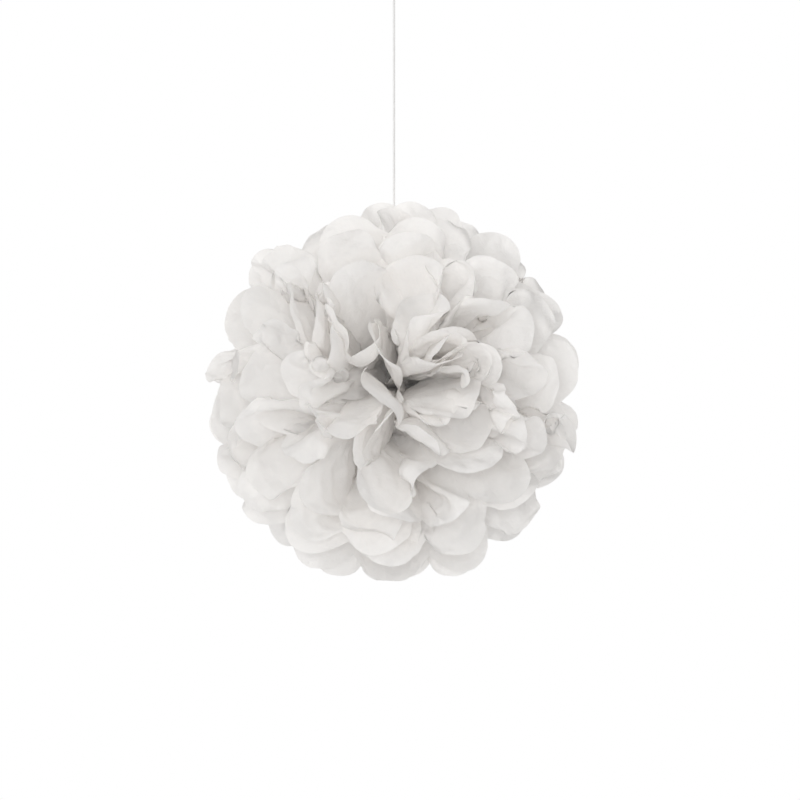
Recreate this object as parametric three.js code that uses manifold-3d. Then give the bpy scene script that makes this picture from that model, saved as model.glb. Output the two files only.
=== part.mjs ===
// Tissue paper pom-pom: pleated sheets of tissue laid in a stack, tied at the middle of the strip
// with a wire, cut round at both ends and pulled apart layer by layer into a ball. It hangs on a thread.
// Millimetres, +Z up. The origin is the middle of the tied neck. The pleated strip lies along X, its two
// halves fan out to +X and -X, and the layers are lifted towards -Y (front) and +Y (back).

import * as THREE from 'three';
import { mergeVertices } from 'three/addons/utils/BufferGeometryUtils.js';
import Module from 'manifold-3d';

// The sheets as they are cut and folded
const SHEETS_PER_FACE = 5;
const PANELS = 10; // pleat panels across one sheet
const PANEL_WIDTH = 66;
const NOTCH_REACH = 167; // from the neck to the notch between two petals
const PAPER_WALL = 0.5; // away from the neck
const NECK_WALL = 1.4; // all the folds of one sheet, crushed flat at the tie
const SHEET_GAP = 0.3; // between two sheets in the neck
const OUTER_STRIP_WIDTH = 12; // of the outermost sheet in the neck

// The layers as they are pulled apart, in degrees from the middle plane of the ball
const POLE_GAP = 5; // kept free before the front and back poles
const SWING_AT_RIM = 22; // most that a fold swings out of its sheet, at the ball's middle plane
const SWING_AT_POLE = 10; // the same, next to a pole
const OPENING_REACH = 40; // from the neck to where the pleats and layers are fully open
const CLOSING_REACH = 110; // from the neck to where the seams between the two halves are narrowest

// The wire tie: an eye, a short twist, a loop round the neck and a twisted tail
const WIRE_DIAMETER = 1;
const WIRE_CLEARANCE = 0.3; // to the paper and to the thread
const WIRE_LEAD = 2; // from the loop to either twist
const TWIST_RADIUS = 0.72;
const TWIST_LENGTH = 7;
const TWIST_TURNS = 1.25;
const TAIL_LENGTH = 14;
const TAIL_TURNS = 2.5;
const EYE_RADIUS = 3.4;

// The hanging thread
const THREAD_DIAMETER = 2.4;
const THREAD_CLEARANCE = 0.3; // to the paper, in the upper seam
const TIE_LOOP_RADIUS = 5; // through the wire's eye
const TOP_KNOT_HEIGHT = 424;
const TOP_LOOP_RADIUS = 9; // to hang the ball by
const KNOT_WIDTH = 5.2;
const KNOT_HEIGHT = 6.4;

// Facets
const ROW_SHARES = [0, 0.11, 0.36, 0.69, 1]; // of the notch reach
const TIP_SEGMENTS = 6;
const WIRE_SIDES = 6;
const WIRE_STEPS = 116;
const THREAD_SIDES = 8;
const LOOP_SEGMENTS = 18;
const MITER_LIMIT = 2;

// Sizes worked out from the ones above
const SHEET_PITCH = NECK_WALL + SHEET_GAP;
const NECK_DEPTH = (SHEETS_PER_FACE - 0.5) * SHEET_PITCH + NECK_WALL / 2;
const NECK_RADIUS = Math.hypot(NECK_DEPTH, OUTER_STRIP_WIDTH / 2);
const WIRE_RADIUS = WIRE_DIAMETER / 2;
const WIRE_LOOP_RADIUS = NECK_RADIUS + WIRE_CLEARANCE + WIRE_RADIUS;
const NECK_LENGTH = 2 * (EYE_RADIUS + WIRE_RADIUS + WIRE_CLEARANCE + PAPER_WALL);
const SEAM_WIDTH = THREAD_DIAMETER + 2 * (THREAD_CLEARANCE + PAPER_WALL);
const TWIST_START = WIRE_LOOP_RADIUS + WIRE_LEAD;
const EYE_CENTRE = TWIST_START + TWIST_LENGTH + EYE_RADIUS;
const TIP_RADIUS = PANEL_WIDTH / 2;

const { degToRad, lerp, smoothstep } = THREE.MathUtils;

const tissue = () => new THREE.MeshStandardMaterial({ color: 0xe9e6e3, roughness: 0.92, metalness: 0 });
const galvanised = () => new THREE.MeshStandardMaterial({ color: 0xa3a4a3, roughness: 0.4, metalness: 1 });
const cotton = () => new THREE.MeshStandardMaterial({ color: 0xeeedea, roughness: 0.95, metalness: 0 });

// One sheet's place: layer 0 lies next to the middle plane and face is +1 in front, -1 behind.
function sheetPlace(face, layer) {
  const depth = (layer + 0.5) * SHEET_PITCH;
  return {
    lift: (face * degToRad(90 - POLE_GAP) * (layer + 0.5)) / SHEETS_PER_FACE,
    neckY: -face * depth,
    neckHalfWidth: Math.sqrt(NECK_RADIUS ** 2 - (depth + NECK_WALL / 2) ** 2),
  };
}

// +1 on even folds, -1 on odd folds, straight between them: the zigzag of the pleats.
function foldWave(u) {
  return 2 * Math.abs((u % 2) - 1) - 1;
}

// How far a fold swings out of its sheet, so that a panel keeps its width while the fan widens.
function pleatSwing(place, lift, reach) {
  const spacing = (2 * place.neckHalfWidth + Math.PI * reach * Math.cos(lift)) / PANELS;
  const depth = Math.sqrt(Math.max(0, PANEL_WIDTH ** 2 - spacing ** 2)) / 2;
  const limit = degToRad(lerp(SWING_AT_RIM, SWING_AT_POLE, Math.abs(lift) / (Math.PI / 2)));
  return Math.min(Math.atan2(depth, reach), limit);
}

// A point of the sheet: u counts panels across it, and reach is measured out from the neck.
function sheetPoint(place, side, u, reach) {
  const across = u / PANELS - 0.5;
  const azimuth = across * Math.PI;
  const opening = smoothstep(reach, 0, OPENING_REACH);
  const lift = place.lift * opening;
  const rise = lift + foldWave(u) * pleatSwing(place, lift, reach) * opening;
  const out = reach * Math.cos(rise);
  const seam = lerp(NECK_LENGTH, SEAM_WIDTH, smoothstep(reach, OPENING_REACH, CLOSING_REACH));
  return new THREE.Vector3(
    side * (seam / 2 + out * Math.cos(azimuth)),
    place.neckY - reach * Math.sin(rise),
    2 * across * place.neckHalfWidth + out * Math.sin(azimuth),
  );
}

// The middle surface of a sheet: a grid from one end's notches to the other's, and a round tip
// on both ends of each panel. The points at the tie are crushed flat.
function sheetSurface(place) {
  const points = [];
  const crushed = [];
  const faces = [];
  const addPoint = (side, u, reach) => {
    points.push(sheetPoint(place, side, u, reach));
    crushed.push(reach === 0);
    return points.length - 1;
  };

  const reaches = ROW_SHARES.map((share) => share * NOTCH_REACH);
  const leftRows = reaches.toReversed().map((reach) => ({ side: -1, reach }));
  const rightRows = reaches.map((reach) => ({ side: 1, reach }));
  const rows = [...leftRows, ...rightRows];
  const columns = 2 * PANELS + 1;
  const grid = rows.map(({ side, reach }) =>
    Array.from({ length: columns }, (_, column) => addPoint(side, column / 2, reach)),
  );
  for (let r = 0; r + 1 < rows.length; r += 1) {
    for (let c = 0; c + 1 < columns; c += 1) {
      const [a, b] = [grid[r][c], grid[r + 1][c]];
      const [d, e] = [grid[r][c + 1], grid[r + 1][c + 1]];
      faces.push([a, b, e], [a, e, d]);
    }
  }

  for (const side of [-1, 1]) {
    const notchRow = side < 0 ? grid[0] : grid.at(-1);
    for (let panel = 0; panel < PANELS; panel += 1) {
      const middle = notchRow[2 * panel + 1];
      const arc = [notchRow[2 * panel]];
      for (let n = 1; n < TIP_SEGMENTS; n += 1) {
        const turn = (Math.PI * n) / TIP_SEGMENTS;
        const u = panel + (1 - Math.cos(turn)) / 2;
        arc.push(addPoint(side, u, NOTCH_REACH + TIP_RADIUS * Math.sin(turn)));
      }
      arc.push(notchRow[2 * panel + 2]);
      for (let n = 0; n < TIP_SEGMENTS; n += 1) {
        const [from, to] = side > 0 ? [arc[n], arc[n + 1]] : [arc[n + 1], arc[n]];
        faces.push([middle, from, to]);
      }
    }
  }
  return { points, crushed, faces };
}

function faceNormal(points, [a, b, c]) {
  const edge = new THREE.Vector3().subVectors(points[b], points[a]);
  return edge.cross(new THREE.Vector3().subVectors(points[c], points[a]));
}

// A closed wall on both sides of a sheet's middle surface, mitred at its folds and flat at the tie.
function thicken({ points, crushed, faces }) {
  const normals = points.map(() => new THREE.Vector3());
  const facing = faces.map((face) => faceNormal(points, face));
  faces.forEach((face, f) => face.forEach((p) => normals[p].add(facing[f])));
  normals.forEach((normal) => normal.normalize());
  const miter = points.map(() => 1);
  faces.forEach((face, f) => {
    const unit = facing[f].clone().normalize();
    face.forEach((p) => {
      const stretch = 1 / Math.max(unit.dot(normals[p]), 1 / MITER_LIMIT);
      miter[p] = Math.max(miter[p], stretch);
    });
  });
  const halfWall = (p) =>
    crushed[p]
      ? new THREE.Vector3(0, -NECK_WALL / 2, 0)
      : normals[p].clone().multiplyScalar((miter[p] * PAPER_WALL) / 2);
  const front = points.map((point, p) => point.clone().add(halfWall(p)));
  const back = points.map((point, p) => point.clone().sub(halfWall(p)));
  const count = points.length;
  const triangles = [];
  const edges = new Set();
  for (const [a, b, c] of faces) {
    triangles.push(a, b, c, a + count, c + count, b + count);
    [[a, b], [b, c], [c, a]].forEach(([from, to]) => edges.add(`${from} ${to}`));
  }
  for (const edge of edges) {
    const [a, b] = edge.split(' ').map(Number);
    if (!edges.has(`${b} ${a}`)) triangles.push(b, a, a + count, b, a + count, b + count);
  }
  const geometry = new THREE.BufferGeometry().setFromPoints([...front, ...back]);
  geometry.setIndex(triangles);
  return geometry;
}

// A tube with closed ends along a curve.
function tube(curve, radius, sides, steps) {
  const corner = (n) => {
    const turn = (2 * Math.PI * n) / sides;
    return new THREE.Vector2(radius * Math.cos(turn), radius * Math.sin(turn));
  };
  const section = new THREE.Shape(Array.from({ length: sides }, (_, n) => corner(n)));
  return new THREE.ExtrudeGeometry(section, { steps, extrudePath: curve, bevelEnabled: false });
}

// One strand of a twist along Z, as points from one height to another.
function twistStrand(fromZ, toZ, fromTurn, turns, count) {
  return Array.from({ length: count }, (_, n) => {
    const share = n / (count - 1);
    const turn = fromTurn + 2 * Math.PI * turns * share;
    return new THREE.Vector3(
      TWIST_RADIUS * Math.cos(turn),
      TWIST_RADIUS * Math.sin(turn),
      lerp(fromZ, toZ, share),
    );
  });
}

// The wire from the end of its tail, up the front of the neck, to the top of its eye.
// Its other half is the same, half a turn about Z.
function wireHalf() {
  const tail = twistStrand(
    -TWIST_START - TAIL_LENGTH, -TWIST_START, -Math.PI / 2 - 2 * Math.PI * TAIL_TURNS, TAIL_TURNS, 20,
  );
  const loop = Array.from({ length: 11 }, (_, n) => {
    const turn = lerp(degToRad(16), degToRad(164), n / 10);
    return new THREE.Vector3(0, -WIRE_LOOP_RADIUS * Math.sin(turn), -WIRE_LOOP_RADIUS * Math.cos(turn));
  });
  const twist = twistStrand(TWIST_START, TWIST_START + TWIST_LENGTH, -Math.PI / 2, TWIST_TURNS, 11);
  const eye = Array.from({ length: 6 }, (_, n) => {
    const turn = lerp(degToRad(-62), degToRad(72), n / 5);
    return new THREE.Vector3(EYE_RADIUS * Math.cos(turn), 0, EYE_CENTRE + EYE_RADIUS * Math.sin(turn));
  });
  return [...tail, ...loop, ...twist, ...eye];
}

function bindingWire() {
  const half = wireHalf();
  const eyeTop = new THREE.Vector3(0, 0, EYE_CENTRE + EYE_RADIUS);
  const otherHalf = half.map((p) => new THREE.Vector3(-p.x, -p.y, p.z)).reverse();
  const curve = new THREE.CatmullRomCurve3([...half, eyeTop, ...otherHalf]);
  return tube(curve, WIRE_RADIUS, WIRE_SIDES, WIRE_STEPS);
}

const wasm = await Module();
wasm.setup();

// Closed geometries joined into one solid.
function joined(geometries) {
  const solids = geometries.map((geometry) => {
    geometry.deleteAttribute('normal');
    geometry.deleteAttribute('uv');
    const merged = mergeVertices(geometry);
    return new wasm.Manifold(new wasm.Mesh({
      numProp: 3,
      vertProperties: new Float32Array(merged.attributes.position.array),
      triVerts: new Uint32Array(merged.index.array),
    }));
  });
  const mesh = solids.reduce((whole, solid) => whole.add(solid)).getMesh();
  const geometry = new THREE.BufferGeometry();
  geometry.setAttribute('position', new THREE.BufferAttribute(mesh.vertProperties, 3));
  geometry.setIndex(new THREE.BufferAttribute(mesh.triVerts, 1));
  return geometry;
}

// The thread: a loop through the wire's eye, a knot, the straight run, a knot and a loop to hang by.
function hangingThread() {
  const radius = THREAD_DIAMETER / 2;
  const eyeUnderside = EYE_CENTRE + EYE_RADIUS - WIRE_RADIUS;
  const tieLoopCentre = eyeUnderside - WIRE_CLEARANCE - radius + TIE_LOOP_RADIUS;
  const tieKnotHeight = tieLoopCentre + TIE_LOOP_RADIUS;
  const knot = (height) =>
    new THREE.SphereGeometry(0.5, 10, 8)
      .rotateX(Math.PI / 2)
      .scale(KNOT_WIDTH, KNOT_WIDTH, KNOT_HEIGHT)
      .translate(0, 0, height);
  const loop = (loopRadius) => new THREE.TorusGeometry(loopRadius, radius, THREAD_SIDES, LOOP_SEGMENTS);
  const run = new THREE.LineCurve3(
    new THREE.Vector3(0, 0, tieKnotHeight),
    new THREE.Vector3(0, 0, TOP_KNOT_HEIGHT),
  );
  return joined([
    loop(TIE_LOOP_RADIUS).rotateY(Math.PI / 2).translate(0, 0, tieLoopCentre),
    knot(tieKnotHeight),
    tube(run, radius, THREAD_SIDES, 1),
    knot(TOP_KNOT_HEIGHT),
    loop(TOP_LOOP_RADIUS).rotateX(Math.PI / 2).translate(0, 0, TOP_KNOT_HEIGHT + TOP_LOOP_RADIUS),
  ]);
}

const pomPom = new THREE.Group();

function addPiece(name, geometry, material) {
  const mesh = new THREE.Mesh(geometry, material);
  mesh.name = name;
  pomPom.add(mesh);
}

// Sheet 01 is the innermost of the front, and the last one the innermost of the back.
for (let n = 0; n < 2 * SHEETS_PER_FACE; n += 1) {
  const inFront = n < SHEETS_PER_FACE;
  const layer = inFront ? SHEETS_PER_FACE - 1 - n : n - SHEETS_PER_FACE;
  const place = sheetPlace(inFront ? 1 : -1, layer);
  const number = String(n + 1).padStart(2, '0');
  addPiece(`tissue_sheet_${number}`, thicken(sheetSurface(place)), tissue());
}
addPiece('binding_wire', bindingWire(), galvanised());
addPiece('hanging_thread', hangingThread(), cotton());

export default pomPom;
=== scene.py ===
"""A white tissue paper pom-pom hung on a cotton thread."""

import math

import bpy
import numpy as np
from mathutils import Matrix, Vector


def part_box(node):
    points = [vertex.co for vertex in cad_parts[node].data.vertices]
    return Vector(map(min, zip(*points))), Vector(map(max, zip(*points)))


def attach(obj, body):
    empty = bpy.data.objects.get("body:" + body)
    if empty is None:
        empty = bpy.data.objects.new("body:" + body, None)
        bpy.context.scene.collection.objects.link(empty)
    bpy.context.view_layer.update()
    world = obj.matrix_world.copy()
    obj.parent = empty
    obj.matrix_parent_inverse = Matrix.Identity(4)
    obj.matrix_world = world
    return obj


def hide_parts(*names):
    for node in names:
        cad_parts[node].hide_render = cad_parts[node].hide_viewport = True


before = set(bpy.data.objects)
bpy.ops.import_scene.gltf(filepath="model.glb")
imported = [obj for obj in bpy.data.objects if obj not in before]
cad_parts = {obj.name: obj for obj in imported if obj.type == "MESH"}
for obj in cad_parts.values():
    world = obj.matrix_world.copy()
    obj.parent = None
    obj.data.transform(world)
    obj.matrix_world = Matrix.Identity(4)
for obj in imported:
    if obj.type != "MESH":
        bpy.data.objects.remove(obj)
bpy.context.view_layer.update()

# The sheets as they are cut and folded, in metres
SHEETS = 10
PANELS = 10
PANEL_WIDTH = 0.066
NOTCH_REACH = 0.167
TIP_RADIUS = PANEL_WIDTH / 2
TIP_REACH = NOTCH_REACH + TIP_RADIUS
NECK_LENGTH = 0.0094
SHEET_PITCH = 0.0017
WIRE_DIAMETER = 0.001
WIRE_CLEARANCE = 0.0003
NECK_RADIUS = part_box("binding_wire")[1][1] - WIRE_DIAMETER - WIRE_CLEARANCE

# How far the layers are lifted from the ball's middle plane, from the front to the back, in degrees
LIFTS = np.array([85, 66, 47, 28, 9, -9, -27, -45, -62, -78], float)
LEAST_LIFT_GAP = 4
LIFT_SPREAD = 11
TIP_SPREAD = 13
TWIST_SPREAD = 7
LEAN_SPREAD = 20

# How much more a fold rises near the neck than at its tip, as a share of its lift
ARCH = 0.38
ARCH_SPREAD = 0.1

# How unevenly the panels open at the rim, how much more so at the poles, and over which length
RIM_UNEVENNESS = 0.12
POLE_UNEVENNESS = 0.35
OPENING_REACH = 0.045

# How the sheet's two side edges meet at the top and the bottom, in degrees
SEAM_OVERLAP = 8
SEAM_STEP = 4
SEAM_CURL = 60

# The straps at the upper left of the front: pleats that lie back, lean over and stay more closed
STRAP_AZIMUTH = 120
STRAP_WIDTH = 46
STRAP_FADE = 0.6
STRAP_LIFT = 70
STRAP_LAID_BACK = 0.15
STRAP_CALM = 0.6
STRAP_LEAN = -60
STRAP_CLOSING = np.array([0, 0, 0, 0, 0.3, 0.5, 0.6, 0.6, 0.45, 0.1])

# How far a fold swings out of its fan, as a share of a pleat's depth
SWING_SHARE = 0.95
SWING_SPREAD = 0.05
LEAST_SWING = 0.3

# What handling does to the paper, in metres: flopped tips, and dents and creases by size and height
FLOP_START = 0.1
FLOP = 0.024
DENTS = ((0.05, 0.003), (0.024, 0.0012))
CREASES = ((0.038, 0.0028), (0.017, 0.0012), (0.009, 0.0005))
RUMPLED_FROM = 0.03
RUMPLED_FULLY = 0.12

# The tips that are turned over: their share, where the line lies on the round end, and by how much
TURNED_SHARE = 0.13
TURNED_BACK_SHARE = 0.35
TURN_LINE = 0.3
TURN_LINE_SPREAD = 0.45
TURN_ANGLE = 30
TURN_ANGLE_SPREAD = 65
TURN_EDGE = 0.005

# The mesh of a sheet, which settles on a coarse grid and is creased on one twice as fine
PANEL_COLUMNS = 12
HALF_ROWS = 34
FINE_COLUMNS = 2 * PANEL_COLUMNS
FINE_ROWS = 2 * HALF_ROWS
ROUND_SHARE = 0.6

# How the sheets settle: the stiffness of the paper, and the air between two sheets, in metres
RELAX_STEPS = 220
STEPS_PER_FACING = 10
SHEAR_HOLD = 0.6
NEAR_BEND_HOLD = 0.1
FAR_BEND_HOLD = 0.06
CROSS_BEND_HOLD = 0.06
CRUMPLED_UP_TO = 0.02
FIRM_FROM = 0.09
NECK_AIR = 0.0004
AIR_PER_METRE = 0.012
MOST_PUSH = 0.0006

# The hanging thread, in metres
THREAD_DIAMETER = 0.0024
TIE_LOOP_RADIUS = 0.005
TOP_LOOP_RADIUS = 0.009
TOP_KNOT_HEIGHT = 0.424
PLY_OFFSET = 0.00055
PLY_RADIUS = THREAD_DIAMETER / 2 - PLY_OFFSET
PLIES = 3
PLY_PITCH = 0.009
KNOT_WIDTH = 0.0052
KNOT_TURNS = 3
KNOT_STRAND = 0.00085
RING_STEP = 0.0008
RING_POINTS = 24
STRAND_POINTS = 10
TURN_STEPS = 24
LOOP_POINTS = 33

# The room that the paper leaves before, behind and beside the thread, and from which height
THREAD_ROOM = 0.002
THREAD_ROOM_BESIDE = 0.008
THREAD_ROOM_FROM = 0.03

# The photograph's frame
FRAME_PIXELS = 800
MM_PER_PIXEL = 1.04
BALL_PIXEL = (394, 393)
CAMERA_DISTANCE = 2.6
SENSOR = 36

# The studio: lamps with their place, size in metres and power in watts
FLOOR_HEIGHT = -0.62
FLOOR_SIZE = 2.4
FLOOR_GLOW = 0.8
AMBIENT = 0.46
LAMPS = {
    "key": ((-1.7, -2.2, 1.5), 1.6, 23),
    "fill": ((-0.1, -3.0, 0.1), 0.9, 30),
    "back": ((0.4, 2.8, 0.7), 2.0, 8),
}
PAPER_BOUNCES = 10
WHITE = (1, 1, 1, 1)

RNG_SEED = 52


def smoothstep(x, low, high):
    share = np.clip((x - low) / (high - low), 0, 1)
    return share * share * (3 - 2 * share)


def unit(vectors):
    return vectors / (np.linalg.norm(vectors, axis=-1, keepdims=True) + 1e-12)


# The camera looks along +Y at the height of the ball's middle, as in the photograph.
def make_camera():
    metres_per_pixel = MM_PER_PIXEL / 1000
    data = bpy.data.cameras.new("camera")
    data.sensor_width = SENSOR
    data.lens = SENSOR * CAMERA_DISTANCE / (FRAME_PIXELS * metres_per_pixel)
    camera = bpy.data.objects.new("camera", data)
    middle = FRAME_PIXELS / 2
    x = (middle - BALL_PIXEL[0]) * metres_per_pixel
    z = (BALL_PIXEL[1] - middle) * metres_per_pixel
    camera.location = (x, -CAMERA_DISTANCE, z)
    camera.rotation_euler = (math.pi / 2, 0, 0)
    bpy.context.collection.objects.link(camera)
    bpy.context.scene.camera = camera


def add_mesh(name, points, faces):
    mesh = bpy.data.meshes.new(name)
    mesh.from_pydata(points.tolist(), [], faces)
    mesh.polygons.foreach_set("use_smooth", np.ones(len(mesh.polygons), bool))
    piece = bpy.data.objects.new(name, mesh)
    bpy.context.collection.objects.link(piece)
    return piece


# A line again, with its points a given step apart.
def evenly(line, step):
    along = np.append(0, np.cumsum(np.linalg.norm(np.diff(line, axis=0), axis=1)))
    wanted = np.linspace(0, along[-1], round(along[-1] / step) + 1)
    return np.stack([np.interp(wanted, along, line[:, k]) for k in range(3)], axis=1)


# A closed tube along a line. The radius is given for every ring and every angle round it.
def sweep(line, radius):
    rings, around = radius.shape
    tangents = unit(np.gradient(line, axis=0))
    first = unit(np.cross(tangents[0], (0.3, 0.5, 0.8)))
    sides = [first]
    for tangent in tangents[1:]:
        sides.append(unit(sides[-1] - np.dot(sides[-1], tangent) * tangent))
    sides = np.array(sides)
    others = np.cross(tangents, sides)
    angle = 2 * math.pi * np.arange(around) / around
    cosine, sine = radius * np.cos(angle), radius * np.sin(angle)
    points = line[:, None] + cosine[..., None] * sides[:, None] + sine[..., None] * others[:, None]
    faces = []
    for ring in range(rings - 1):
        start = ring * around
        for n in range(around):
            after = (n + 1) % around
            faces.append((start + n, start + after, start + around + after, start + around + n))
    faces.append(tuple(range(around - 1, -1, -1)))
    faces.append(tuple(range((rings - 1) * around, rings * around)))
    return points.reshape(-1, 3), faces


# A loop of thread that starts and ends at its knot, as seen in its own plane: across and along.
def teardrop(radius):
    angle = np.linspace(0, 2 * math.pi, LOOP_POINTS)
    across = radius * np.sin(angle) * np.sin(angle / 2) ** 1.5
    along = radius * (1 - np.cos(angle))
    return across, along


# The thread's middle line: round the wire's eye, up to the knot at its top and round the top loop.
def thread_line():
    tie_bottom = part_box("hanging_thread")[0][2] + THREAD_DIAMETER / 2
    tie_knot = tie_bottom + 2 * TIE_LOOP_RADIUS
    across, along = teardrop(TIE_LOOP_RADIUS)
    tie = np.stack([0 * across, across, tie_knot - along], axis=1)
    across, along = teardrop(TOP_LOOP_RADIUS)
    top = np.stack([across, 0 * across, TOP_KNOT_HEIGHT + along], axis=1)
    return np.concatenate([tie, top]), tie_knot


# Three plies twisted together: the section's radius round each ring of the thread.
def ply_radius(line):
    along = np.arange(len(line)) * RING_STEP
    twist = 2 * math.pi * along / PLY_PITCH
    angle = 2 * math.pi * np.arange(RING_POINTS) / RING_POINTS + twist[:, None]
    sector = 2 * math.pi / PLIES
    off = (angle + sector / 2) % sector - sector / 2
    return PLY_OFFSET * np.cos(off) + np.sqrt(PLY_RADIUS**2 - (PLY_OFFSET * np.sin(off)) ** 2)


# The turns of a knot, wound round the thread.
def knot_turns(height):
    wind = np.linspace(0, 2 * math.pi * KNOT_TURNS, TURN_STEPS * KNOT_TURNS + 1)
    radius = KNOT_WIDTH / 2 - KNOT_STRAND
    rise = 2 * KNOT_STRAND * (wind / (2 * math.pi) - KNOT_TURNS / 2)
    line = np.stack([radius * np.cos(wind), radius * np.sin(wind), height + rise], axis=1)
    return sweep(line, np.full((len(line), STRAND_POINTS), KNOT_STRAND))


def make_thread():
    rough, tie_knot = thread_line()
    line = evenly(rough, RING_STEP)
    parts = [sweep(line, ply_radius(line)), knot_turns(tie_knot), knot_turns(TOP_KNOT_HEIGHT)]
    points, faces = [], []
    for part_points, part_faces in parts:
        start = sum(len(p) for p in points)
        points.append(part_points)
        faces += [tuple(start + n for n in face) for face in part_faces]
    piece = add_mesh("twisted_thread", np.concatenate(points), faces)
    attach(piece, "root")
    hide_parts("hanging_thread")
    return piece


# Columns across a sheet, counted in panels, closer together at the folds, and each column's length.
def panel_columns(columns):
    steps = np.arange(columns) / columns
    rounded = (1 - np.cos(math.pi * steps)) / 2
    share = ROUND_SHARE * rounded + (1 - ROUND_SHARE) * steps
    across = np.append((np.arange(PANELS)[:, None] + share).ravel(), PANELS)
    in_panel = across - np.floor(across)
    reach = NOTCH_REACH + TIP_RADIUS * np.sqrt(1 - (2 * in_panel - 1) ** 2)
    return across, reach


# The flat sheet's grid, in metres across and along, from the left tips to the right tips.
def flat_sheet(columns, rows):
    across, reach = panel_columns(columns)
    run = NECK_LENGTH / 2 + np.linspace(0, 1, rows + 1)[:, None] * reach
    along = np.concatenate([-run[::-1], run])
    return np.stack([np.broadcast_to(across * PANEL_WIDTH, along.shape), along], axis=-1)


# Random values for every sheet, side and place across, which drift slowly from sheet to sheet.
# Own is each sheet's share that doesn't follow its neighbours.
def layered_noise(rng, places, own):
    knots = rng.normal(size=(4, 2, places))
    place = np.linspace(0, len(knots) - 1.001, SHEETS)
    low = place.astype(int)
    share = (place - low)[:, None, None]
    drift = knots[low] * (1 - share) + knots[low + 1] * share
    return drift + own * rng.normal(size=drift.shape)


# The angle of every fold in its fan, in degrees. Panels near the poles open unevenly.
def fold_fan(rng):
    total = 180 + 2 * SEAM_OVERLAP
    spread = RIM_UNEVENNESS + POLE_UNEVENNESS * np.abs(LIFTS)[:, None, None] / 90
    weight = np.exp(spread * layered_noise(rng, PANELS, own=0.4))
    weight[:, 0] *= 1 - STRAP_CLOSING * np.clip(LIFTS / STRAP_LIFT, 0, 1)[:, None] ** 2
    opening = total * weight / weight.sum(axis=-1, keepdims=True)
    start = np.full((SHEETS, 2, 1), -total / 2)
    return np.concatenate([start, start + np.cumsum(opening, axis=-1)], axis=-1)


# How much of a strap each fold is, from 0 to 1.
def strap_share(fan):
    seen_azimuth = np.stack([180 - fan[:, 0], fan[:, 1]], axis=1)
    away = (seen_azimuth - STRAP_AZIMUTH + 180) % 360 - 180
    share = smoothstep(STRAP_WIDTH - np.abs(away), 0, STRAP_FADE * STRAP_WIDTH)
    return share * (LIFTS > 0)[:, None, None]


# The lift of every fold on both sides, in degrees, with the layers kept in their order.
def fold_lifts(rng, strap):
    base = LIFTS[:, None, None]
    spread = LIFT_SPREAD * (0.5 + 0.5 * np.abs(base) / 90) * (1 - STRAP_CALM * strap)
    lifts = base * (1 - STRAP_LAID_BACK * strap) + spread * rng.normal(size=strap.shape)
    lifts[:, 0, 0] -= SEAM_STEP
    lifts[:, 0, -1] += SEAM_STEP
    lifts[:, 1, 0] += SEAM_STEP
    lifts[:, 1, -1] -= SEAM_STEP
    for sheet in range(1, SHEETS):
        lifts[sheet] = np.minimum(lifts[sheet], lifts[sheet - 1] - LEAST_LIFT_GAP)
    return lifts


# How far the pleats lean over sideways, in radians, changing slowly round the fan.
def fold_lean(rng, strap):
    knots = layered_noise(rng, 4, own=0.2)
    place = np.linspace(0, 2.999, PANELS + 1)
    low = place.astype(int)
    drift = knots[..., low] * (low + 1 - place) + knots[..., low + 1] * (place - low)
    return np.radians(LEAN_SPREAD * drift * (1 - strap) + STRAP_LEAN * strap)


# The direction of every fold at every distance from the neck, in radians: its rise and its azimuth.
def fold_angles(rng, run, fan, strap):
    rows = run / TIP_REACH
    opened = smoothstep(run, 0, OPENING_REACH)
    lift = fold_lifts(rng, strap)[:, :, None, :]
    arch = ARCH + ARCH_SPREAD * layered_noise(rng, PANELS + 1, own=0.6)
    tip = TIP_SPREAD * layered_noise(rng, PANELS + 1, own=0.6)
    lift = lift * opened * (1 + arch[:, :, None, :] * (1 - 2 * rows)) + tip[:, :, None, :] * rows**2
    twist = TWIST_SPREAD * layered_noise(rng, PANELS + 1, own=0.5)
    edge = np.sign(fan) * (np.abs(fan) / (90 + SEAM_OVERLAP)) ** 6
    turn = twist[:, :, None, :] * rows + SEAM_CURL * edge[:, :, None, :] * (1 - opened)
    return np.radians(lift), np.radians(fan[:, :, None, :] + turn)


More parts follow.
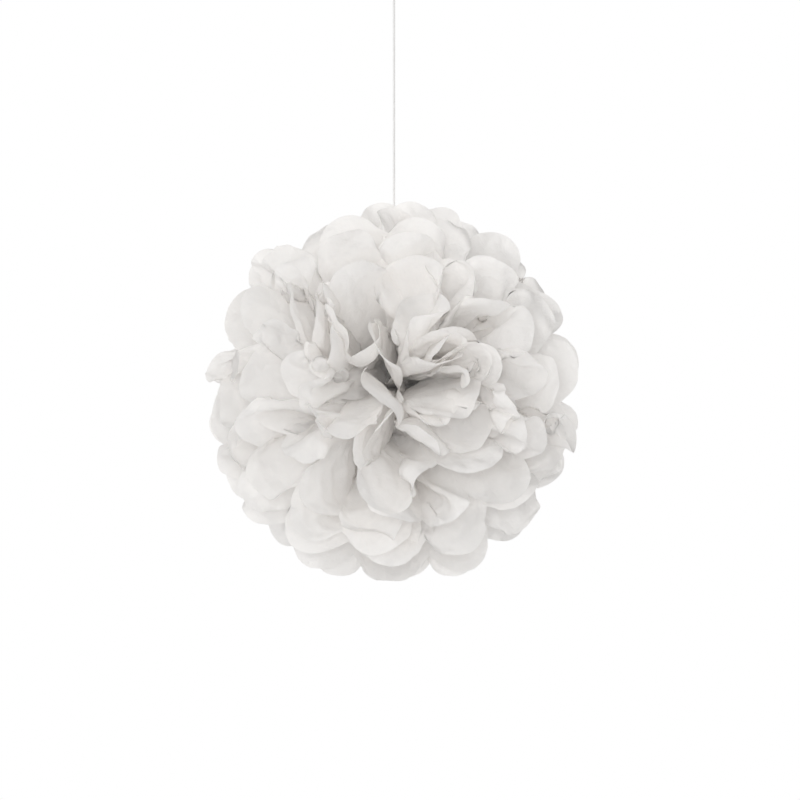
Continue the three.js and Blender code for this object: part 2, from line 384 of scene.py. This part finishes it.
# The line of every fold: from the neck along its direction, swung out or in as a pleat's edge is.
def fold_lines(rng, run):
    fan = fold_fan(rng)
    strap = strap_share(fan)
    rise, azimuth = fold_angles(rng, run, fan, strap)
    side = np.array([-1, 1])[None, :, None, None]
    ahead = np.stack([
        side * np.cos(rise) * np.cos(azimuth),
        -np.sin(rise),
        np.cos(rise) * np.sin(azimuth),
    ], axis=-1)
    outward = np.stack([
        -side * np.sin(rise) * np.cos(azimuth),
        -np.cos(rise),
        -np.sin(rise) * np.sin(azimuth),
    ], axis=-1)
    sideways = np.stack([-side * np.sin(azimuth), 0 * azimuth, np.cos(azimuth)], axis=-1)
    lean = fold_lean(rng, strap)[:, :, None, :, None]
    ridge = np.cos(lean) * outward + np.sin(lean) * sideways
    fold = np.arange(PANELS + 1)
    depth = (np.arange(SHEETS) - (SHEETS - 1) / 2) * SHEET_PITCH
    half_width = np.sqrt(NECK_RADIUS**2 - (np.abs(depth) + SHEET_PITCH / 2) ** 2)
    lines = np.zeros(ahead.shape)
    lines[..., 0] = side * NECK_LENGTH / 2
    lines[..., 1] = depth[:, None, None, None]
    lines[..., 2] = half_width[:, None, None, None] * (2 * fold / PANELS - 1)
    moves = np.diff(run, axis=0)[..., None] * (ahead[:, :, 1:] + ahead[:, :, :-1]) / 2
    lines[:, :, 1:] += np.cumsum(moves, axis=2)

    chord = np.linalg.norm(np.diff(lines, axis=3), axis=-1)
    half_depth = np.sqrt(np.maximum(PANEL_WIDTH**2 - chord**2, 0)) / 2
    padded = np.concatenate([half_depth[..., :1], half_depth, half_depth[..., -1:]], axis=-1)
    share = SWING_SHARE + SWING_SPREAD * layered_noise(rng, PANELS + 1, own=0.4)
    share = np.clip(share, LEAST_SWING, 1)[:, :, None, :]
    swing = (padded[..., 1:] + padded[..., :-1]) / 2 * share
    swing = swing * smoothstep(run, 0, OPENING_REACH) * (-1.0) ** fold
    return lines + swing[..., None] * ridge


# The sheets as they are first pulled apart: arched panels between the folds, on both sides.
# The result is indexed by sheet, side, row from the neck, column and coordinate.
def fan_out(rng, across, reach):
    run = np.linspace(0, TIP_REACH, HALF_ROWS + 1)[:, None]
    folds = fold_lines(rng, run)
    width = np.diff(folds, axis=3)
    along = np.gradient((folds[..., 1:, :] + folds[..., :-1, :]) / 2, axis=2)
    side = np.array([-1, 1])[None, :, None, None, None]
    facing = unit(np.cross(along, width)) * side
    chord = np.linalg.norm(width, axis=-1)
    spare = np.maximum(PANEL_WIDTH - chord, 0)
    bulge = np.sqrt(3 / 8 * spare * chord) * smoothstep(run, 0, OPENING_REACH)
    turn = rng.integers(0, SHEETS + 1, size=(2, PANELS))
    forward = np.where(np.arange(SHEETS)[:, None, None] < turn, 1, -1)
    flop = FLOP * layered_noise(rng, PANELS, own=0.9)[:, :, None, :]
    flop = flop * np.clip((run - FLOP_START) / (TIP_REACH - FLOP_START), 0, 1) ** 2

    panel = np.minimum(np.floor(across).astype(int), PANELS - 1)
    share = across - panel
    arc = 4 * share * (1 - share)
    out = (bulge * forward[:, :, None, :])[..., panel] * arc + flop[..., panel] * np.sqrt(arc)
    points = folds[..., panel, :] + share[:, None] * width[..., panel, :]
    return own_rows(points + out[..., None] * facing[..., panel, :], reach)


# The same columns with their rows spread evenly over each column's own length.
def own_rows(points, reach):
    wanted = np.arange(HALF_ROWS + 1)[:, None] * reach / TIP_REACH
    low = np.minimum(wanted.astype(int), HALF_ROWS - 1)
    share = (wanted - low)[..., None]
    column = np.arange(points.shape[3])
    return points[:, :, low, column] * (1 - share) + points[:, :, low + 1, column] * share


# Both sides as one grid of rows from the left tips through the neck to the right tips.
def whole_sheets(halves):
    return np.concatenate([halves[:, 0, ::-1], halves[:, 1]], axis=1)


# The paper's normals, measured over a few rows so that small crumples don't count.
def surface_normals(points, span):
    padded = np.pad(points, ((0, 0), (span, span), (0, 0), (0, 0)), mode="edge")
    along = padded[:, 2 * span:] - padded[:, :-2 * span]
    padded = np.pad(points, ((0, 0), (0, 0), (1, 1), (0, 0)), mode="edge")
    across = padded[:, :, 2:] - padded[:, :, :-2]
    return unit(np.cross(across, along))


# Pairs of points that many rows and columns apart, in groups that share no point.
def pair_groups(flat, row_step, column_step, strength, give):
    rows, columns = flat.shape[:2]
    span = row_step or column_step
    size = rows if row_step else columns
    strength = np.broadcast_to(strength, (rows, columns))
    groups = []
    for start in range(2 * span):
        near = slice(start, size - span, 2 * span)
        far = slice(start + span, size, 2 * span)
        if row_step:
            left, right = max(-column_step, 0), max(column_step, 0)
            first = (near, slice(left, columns - right))
            second = (far, slice(right, columns - left))
        else:
            first = (slice(None), near)
            second = (slice(None), far)
        rest = np.linalg.norm(flat[second] - flat[first], axis=-1)
        groups.append((first, second, rest, strength[first], give[first]))
    return groups


# Moves each pair of points towards its distance in the flat sheet; a low give lets it crumple.
def pull_pairs(points, group):
    first, second, rest, strength, give = group
    a = (slice(None),) + first
    b = (slice(None),) + second
    gap = points[b] - points[a]
    length = np.sqrt(np.einsum("...i,...i->...", gap, gap)) + 1e-9
    error = (length - rest) / length
    error = np.where(error > 0, error, error * give) * strength / 2
    shift = error[..., None] * gap
    points[a] += shift
    points[b] -= shift


# Neighbouring sheets keep their order and a little air, measured along the paper's normal.
def part_layers(points, between, trust, least):
    for start in (0, 1):
        near = points[start:-1:2]
        far = points[start + 1::2]
        direction = between[start::2]
        gap = np.einsum("...i,...i->...", far - near, direction)
        push = np.clip(least - gap, 0, MOST_PUSH) * trust[start::2]
        push = push[..., None] / 2 * direction
        points[start:-1:2] -= push
        points[start + 1::2] += push


# Keeps the sheets off the thread: those of the front before it and those of the back behind it.
def clear_thread(points):
    aside, height = np.abs(points[..., 0]), points[..., 2]
    beside = (aside < THREAD_ROOM_BESIDE) & (height > THREAD_ROOM_FROM)
    depth = points[..., 1]
    middle = SHEETS // 2
    before = np.minimum(depth[:middle], -THREAD_ROOM)
    behind = np.maximum(depth[middle:], THREAD_ROOM)
    points[..., 1] = np.where(beside, np.concatenate([before, behind]), depth)


# Settles the fanned sheets into shapes that the flat paper can take.
def relax(points, flat, across):
    out = np.abs(flat[..., 1])
    give = smoothstep(out, CRUMPLED_UP_TO, FIRM_FROM)
    off_fold = np.abs(across - np.round(across)) > 1e-6
    bend_across = CROSS_BEND_HOLD * np.roll(off_fold, -1)
    groups = (
        pair_groups(flat, 0, 1, 1.0, give)
        + pair_groups(flat, 1, 0, 1.0, np.ones_like(give))
        + pair_groups(flat, 1, 1, SHEAR_HOLD, give)
        + pair_groups(flat, 1, -1, SHEAR_HOLD, give)
        + pair_groups(flat, 2, 0, NEAR_BEND_HOLD, give)
        + pair_groups(flat, 5, 0, FAR_BEND_HOLD, give)
        + pair_groups(flat, 0, 2, bend_across, give)
    )
    neck = slice(HALF_ROWS, HALF_ROWS + 2)
    held = points[:, neck].copy()
    least = NECK_AIR + AIR_PER_METRE * out
    for step in range(RELAX_STEPS):
        if step % STEPS_PER_FACING == 0:
            normals = surface_normals(points, 3)
            between = unit(normals[1:] + normals[:-1])
            trust = np.clip(np.einsum("...i,...i->...", normals[1:], normals[:-1]), 0, 1) ** 2
        for group in groups:
            pull_pairs(points, group)
        part_layers(points, between, trust, least)
        clear_thread(points)
        points[:, neck] = held
    return points


# The same line of points with one more between each two, on a smooth curve.
def doubled(points, axis):
    points = np.moveaxis(points, axis, 0)
    first = (3 * points[:1] + 6 * points[1:2] - points[2:3]) / 8
    middle = (9 * (points[1:-2] + points[2:-1]) - points[:-3] - points[3:]) / 16
    last = (3 * points[-1:] + 6 * points[-2:-1] - points[-3:-2]) / 8
    result = np.empty((2 * len(points) - 1,) + points.shape[1:])
    result[::2] = points
    result[1::2] = np.concatenate([first, middle, last])
    return np.moveaxis(result, 0, axis)


# The sheets on a grid twice as fine, smooth within each panel and sharp at the folds.
def finer(points):
    left, right = points[:, :HALF_ROWS + 1], points[:, HALF_ROWS + 1:]
    rows = np.concatenate([doubled(left, 1), doubled(right, 1)], axis=1)
    parts = []
    for panel in range(PANELS):
        columns = slice(panel * PANEL_COLUMNS, (panel + 1) * PANEL_COLUMNS + 1)
        parts.append(doubled(rows[:, :, columns], 2)[:, :, :-1])
    return np.concatenate(parts + [rows[:, :, -1:]], axis=2)


# Smooth random values over the flat sheets, one set for each, with the given cell size.
def sheet_noise(rng, flat, cell):
    place = (flat - flat.min(axis=(0, 1))) / cell
    low = place.astype(int)
    share = smoothstep(place - low, 0, 1)
    size = low.max(axis=(0, 1)) + 2
    knots = rng.normal(size=(SHEETS, size[0], size[1]))
    u, v = low[..., 0], low[..., 1]
    a, b = share[..., 0], share[..., 1]
    near = knots[:, u, v] * (1 - a) + knots[:, u + 1, v] * a
    far = knots[:, u, v + 1] * (1 - a) + knots[:, u + 1, v + 1] * a
    return near * (1 - b) + far * b


# Soft dents and sharper creases that handling leaves in tissue, away from the neck.
def rumple(rng, points, flat):
    height = 0
    for cell, most in DENTS:
        height = height + most * sheet_noise(rng, flat, cell)
    for cell, most in CREASES:
        height = height + most * np.abs(sheet_noise(rng, flat, cell))
    height = height * smoothstep(np.abs(flat[..., 1]), RUMPLED_FROM, RUMPLED_FULLY)
    return points + height[..., None] * surface_normals(points, 2)


# The points turned about an axis through a centre, each by its own angle.
def turned(points, centre, axis, angles):
    arm = points - centre
    cosine, sine = np.cos(angles)[..., None], np.sin(angles)[..., None]
    along = (arm @ axis)[..., None] * axis
    return centre + along + (arm - along) * cosine + np.cross(axis, arm) * sine


# Turns over the end of one panel past a line across its round tip.
def turn_tip(block, u, v, distance, slant, angle):
    past = u * math.sin(slant) + v * math.cos(slant) - distance
    along = u * math.cos(slant) - v * math.sin(slant)
    near = np.abs(past) < TURN_EDGE
    axis, centre = np.polyfit(along[near], block[near], 1)
    return turned(block, centre, unit(axis), angle * smoothstep(past, 0, TURN_EDGE))


# Some tips have a corner or the whole round end turned over.
def turn_tips(rng, points, flat):
    middle = NECK_LENGTH / 2 + NOTCH_REACH
    ends = ((-1, slice(0, FINE_ROWS + 1)), (1, slice(FINE_ROWS + 1, None)))
    for sheet in range(SHEETS):
        for way, rows in ends:
            for panel in range(PANELS):
                chance, depth, slant, angle, back = rng.random(5)
                if chance > TURNED_SHARE:
                    continue
                columns = slice(panel * FINE_COLUMNS, (panel + 1) * FINE_COLUMNS + 1)
                u = flat[rows, columns, 0] - (panel + 0.5) * PANEL_WIDTH
                v = way * flat[rows, columns, 1] - middle
                distance = TIP_RADIUS * (TURN_LINE + TURN_LINE_SPREAD * depth)
                slant = math.asin(distance / TIP_RADIUS) * (2 * slant - 1)
                way_over = 1 if back > TURNED_BACK_SHARE else -1
                angle = math.radians(TURN_ANGLE + TURN_ANGLE_SPREAD * angle) * way_over
                block = points[sheet, rows, columns]
                points[sheet, rows, columns] = turn_tip(block, u, v, distance, slant, angle)
    return points


def grid_faces(rows, columns):
    corner = np.arange((rows - 1) * columns).reshape(rows - 1, columns)[:, :-1].ravel()
    return np.stack([corner, corner + 1, corner + columns + 1, corner + columns], axis=1).tolist()


# One tissue sheet: its grid as a mesh, with the flat sheet as its UV map and its folds sharp.
def make_sheet(name, points, flat):
    rows, columns = flat.shape[:2]
    piece = add_mesh(name, points.reshape(-1, 3), grid_faces(rows, columns))
    mesh = piece.data
    corners = np.empty(len(mesh.loops), int)
    mesh.loops.foreach_get("vertex_index", corners)
    uv = mesh.uv_layers.new(name="flat_sheet")
    uv.data.foreach_set("uv", flat.reshape(-1, 2)[corners].ravel())
    ends = np.empty(2 * len(mesh.edges), int)
    mesh.edges.foreach_get("vertices", ends)
    column = ends.reshape(-1, 2) % columns
    on_fold = (column[:, 0] == column[:, 1]) & (column[:, 0] % FINE_COLUMNS == 0)
    sharp = mesh.attributes.new("sharp_edge", "BOOLEAN", "EDGE")
    sharp.data.foreach_set("value", on_fold)
    return piece


def make_sheets():
    rng = np.random.default_rng(RNG_SEED)
    across, reach = panel_columns(PANEL_COLUMNS)
    points = whole_sheets(fan_out(rng, across, reach))
    points = finer(relax(points, flat_sheet(PANEL_COLUMNS, HALF_ROWS), across))
    flat = flat_sheet(FINE_COLUMNS, FINE_ROWS)
    points = rumple(rng, points, flat)
    points = turn_tips(rng, points, flat)
    clear_thread(points)
    pieces = []
    for n in range(SHEETS):
        piece = make_sheet(f"tissue_{n + 1:02d}", points[n], flat)
        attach(piece, "root")
        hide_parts(f"tissue_sheet_{n + 1:02d}")
        pieces.append(piece)
    return pieces


class Value:
    """What one socket gives. Arithmetic on it adds Math nodes."""

    def __init__(self, finish, socket):
        self.finish = finish
        self.socket = socket

    def _math(self, operation, first, second):
        return self.finish.add("ShaderNodeMath", {"operation": operation}, {0: first, 1: second})

    def __add__(self, other):
        return self._math("ADD", self, other)

    def __mul__(self, other):
        return self._math("MULTIPLY", self, other)

    __radd__ = __add__
    __rmul__ = __mul__


class Finish:
    """The nodes of a material or of the world."""

    def __init__(self, owner):
        owner.use_nodes = True
        self.owner = owner
        self.tree = owner.node_tree
        self.tree.nodes.clear()

    def add(self, kind, settings=None, inputs=None, output=0):
        node = self.tree.nodes.new(kind)
        for name, value in (settings or {}).items():
            setattr(node, name, value)
        for name, value in (inputs or {}).items():
            if isinstance(value, Value):
                self.tree.links.new(value.socket, node.inputs[name])
            else:
                node.inputs[name].default_value = value
        return Value(self, node.outputs[output]) if node.outputs else node

    def colour_mix(self, share, first, second):
        settings = {"data_type": "RGBA"}
        return self.add("ShaderNodeMix", settings, {0: share, 6: first, 7: second}, 2)


# Thin white paper with a cloudy make-up, fine crinkles and some light through it.
def tissue_finish():
    finish = Finish(bpy.data.materials.new("white tissue"))
    flat = finish.add("ShaderNodeUVMap", {"uv_map": "flat_sheet"})
    cloud = finish.add("ShaderNodeTexNoise", None, {"Vector": flat, "Scale": 160.0, "Detail": 4.0})
    fibre = finish.add("ShaderNodeTexNoise", None, {"Vector": flat, "Scale": 900.0, "Detail": 2.0})
    crinkle = finish.add("ShaderNodeTexVoronoi", {"feature": "SMOOTH_F1"}, {
        "Vector": flat,
        "Scale": 75.0,
        "Smoothness": 0.3,
    })
    ripple = finish.add("ShaderNodeTexNoise", None, {
        "Vector": flat,
        "Scale": 42.0,
        "Detail": 5.0,
        "Distortion": 0.6,
    })
    colour = finish.colour_mix(cloud, (0.917, 0.91, 0.902, 1), (0.951, 0.947, 0.942, 1))
    height = 0.55 * crinkle + 0.9 * ripple + 0.12 * cloud + 0.05 * fibre
    bump = finish.add(
        "ShaderNodeBump", None, {"Height": height, "Strength": 0.9, "Distance": 0.003}, "Normal",
    )
    paper = finish.add("ShaderNodeBsdfPrincipled", None, {
        "Base Color": colour,
        "Roughness": 0.84 + 0.12 * fibre,
        "Specular IOR Level": 0.25,
        "Normal": bump,
    })
    through = finish.add(
        "ShaderNodeBsdfTranslucent", None, {"Color": (0.955, 0.935, 0.914, 1), "Normal": bump},
    )
    mixed = finish.add("ShaderNodeMixShader", None, {0: 0.42 + 0.12 * cloud, 1: paper, 2: through})
    finish.add("ShaderNodeOutputMaterial", None, {"Surface": mixed})
    return finish.owner


# Bleached cotton: pale, dull and slightly furry.
def cotton_finish():
    finish = Finish(bpy.data.materials.new("white cotton"))
    place = finish.add("ShaderNodeTexCoord", None, None, "Object")
    fuzz = finish.add("ShaderNodeTexNoise", None, {"Vector": place, "Scale": 2600.0, "Detail": 3.0})
    tone = finish.add("ShaderNodeTexNoise", None, {"Vector": place, "Scale": 320.0, "Detail": 2.0})
    colour = finish.colour_mix(tone, (0.82, 0.815, 0.805, 1), (0.91, 0.905, 0.895, 1))
    bump = finish.add(
        "ShaderNodeBump", None, {"Height": fuzz, "Strength": 0.6, "Distance": 0.0002}, "Normal",
    )
    cotton = finish.add("ShaderNodeBsdfPrincipled", None, {
        "Base Color": colour,
        "Roughness": 0.82 + 0.15 * fuzz,
        "Sheen Weight": 0.3,
        "Normal": bump,
    })
    finish.add("ShaderNodeOutputMaterial", None, {"Surface": cotton})
    return finish.owner


# Soft galvanised wire with dull patches in its zinc.
def wire_finish():
    finish = Finish(bpy.data.materials.new("galvanised wire"))
    place = finish.add("ShaderNodeTexCoord", None, None, "Object")
    patch = finish.add("ShaderNodeTexNoise", None, {"Vector": place, "Scale": 700.0, "Detail": 3.0})
    drawn = finish.add("ShaderNodeTexNoise", None, {
        "Vector": place,
        "Scale": 4000.0,
        "Detail": 2.0,
    })
    colour = finish.colour_mix(patch, (0.48, 0.49, 0.5, 1), (0.68, 0.69, 0.7, 1))
    bump = finish.add(
        "ShaderNodeBump", None, {"Height": drawn, "Strength": 0.3, "Distance": 0.0001}, "Normal",
    )
    zinc = finish.add("ShaderNodeBsdfPrincipled", None, {
        "Base Color": colour,
        "Metallic": 1.0,
        "Roughness": 0.3 + 0.25 * patch,
        "Normal": bump,
    })
    finish.add("ShaderNodeOutputMaterial", None, {"Surface": zinc})
    return finish.owner


# Whether a ray shows the background itself: from the camera, or by a reflection or a clear body.
def seen_directly(finish):
    path = {name: finish.add("ShaderNodeLightPath", None, None, name) for name in (
        "Is Camera Ray", "Is Glossy Ray", "Is Transmission Ray",
    )}
    clamp = {"operation": "ADD", "use_clamp": True}
    seen = finish.add("ShaderNodeMath", clamp, {0: path["Is Camera Ray"], 1: path["Is Glossy Ray"]})
    return finish.add("ShaderNodeMath", clamp, {0: seen, 1: path["Is Transmission Ray"]})


def make_world():
    world = bpy.data.worlds.new("studio")
    bpy.context.scene.world = world
    finish = Finish(world)
    ambient = finish.add("ShaderNodeBackground", None, {"Color": WHITE, "Strength": AMBIENT})
    backdrop = finish.add("ShaderNodeBackground", None, {"Color": WHITE, "Strength": 1.0})
    seen = seen_directly(finish)
    mixed = finish.add("ShaderNodeMixShader", None, {0: seen, 1: ambient, 2: backdrop})
    finish.add("ShaderNodeOutputWorld", None, {"Surface": mixed})


# A plain white floor far below the ball that still takes a faint shadow.
def make_floor():
    bpy.ops.object.select_all(action="DESELECT")
    bpy.ops.mesh.primitive_plane_add(size=FLOOR_SIZE, location=(0, 0, FLOOR_HEIGHT))
    bpy.ops.object.transform_apply(location=True)
    floor = bpy.context.active_object
    floor.name = "floor"
    finish = Finish(bpy.data.materials.new("white floor"))
    matt = finish.add("ShaderNodeBsdfDiffuse", None, {"Color": (0.95, 0.95, 0.95, 1)})
    glow = finish.add("ShaderNodeEmission", None, {"Color": WHITE, "Strength": 1.0})
    seen = FLOOR_GLOW * seen_directly(finish)
    mixed = finish.add("ShaderNodeMixShader", None, {0: seen, 1: matt, 2: glow})
    finish.add("ShaderNodeOutputMaterial", None, {"Surface": mixed})
    floor.data.materials.append(finish.owner)


# A square soft lamp that faces the ball.
def make_lamp(name, place, size, energy):
    data = bpy.data.lights.new(name, "AREA")
    data.size = size
    data.energy = energy
    lamp = bpy.data.objects.new(name, data)
    lamp.location = place
    x, y, z = place
    lamp.rotation_euler = (math.atan2(math.hypot(x, y), z), 0, math.atan2(y, x) + math.pi / 2)
    bpy.context.collection.objects.link(lamp)


make_camera()
thread = make_thread()
sheets = make_sheets()

paper = tissue_finish()
for sheet in sheets:
    sheet.data.materials.append(paper)
thread.data.materials.append(cotton_finish())
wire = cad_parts["binding_wire"]
wire.data.materials.clear()
wire.data.materials.append(wire_finish())

make_world()
make_floor()
for name, (place, size, energy) in LAMPS.items():
    make_lamp(name, place, size, energy)
bpy.context.scene.view_settings.view_transform = "Standard"
# Light goes from paper to paper many times before it fades
bpy.context.scene.cycles.diffuse_bounces = PAPER_BOUNCES
